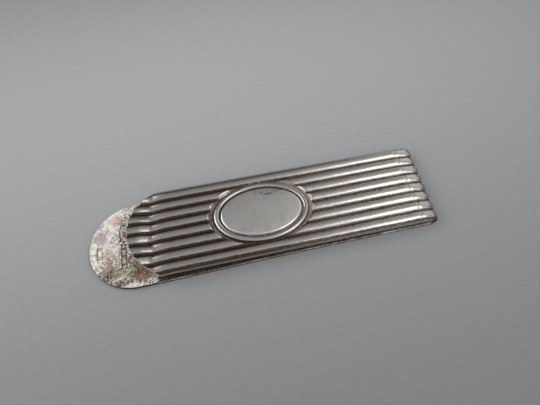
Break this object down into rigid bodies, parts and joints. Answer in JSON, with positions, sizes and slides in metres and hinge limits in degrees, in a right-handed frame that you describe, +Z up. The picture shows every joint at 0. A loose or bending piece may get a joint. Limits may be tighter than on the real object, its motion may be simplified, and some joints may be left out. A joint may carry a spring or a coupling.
{
  "type": "money clip",
  "caption": "Folded silver strip with a reeded front leaf, a smooth oval plate and a turned-up lip, springing open to grip folded banknotes.",
  "frame": {"origin": "centre of the footprint, on the surface the back leaf lies on", "axes": "+X towards the fold, along the strip; +Y across the strip; +Z up, from the back leaf to the front leaf"},
  "size_m": [0.06, 0.016, 0.0036],
  "materials": {
    "worn_silver": "worn silver, polished on the crests and dark in the grooves",
    "plain_silver": "mottled tarnished silver",
    "plate_silver": "satin silver with fine scratches"
  },
  "bodies": {
    "back": {"back_leaf": "plain_silver", "spring_fold": "worn_silver"},
    "front": {"front_leaf": "worn_silver", "finger_lip": "worn_silver", "oval_plate": "plate_silver", "oval_ring": "worn_silver"}
  },
  "joints": [
    {"name": "clip_opening", "type": "hinge", "parent": "back", "child": "front", "pos_m": [0.02855, 0, 0.00101], "axis": [0, 1, 0], "range_deg": [0, 6], "stiffness_Nm_per_rad": 2, "deforming": ["spring_fold"]}
  ]
}
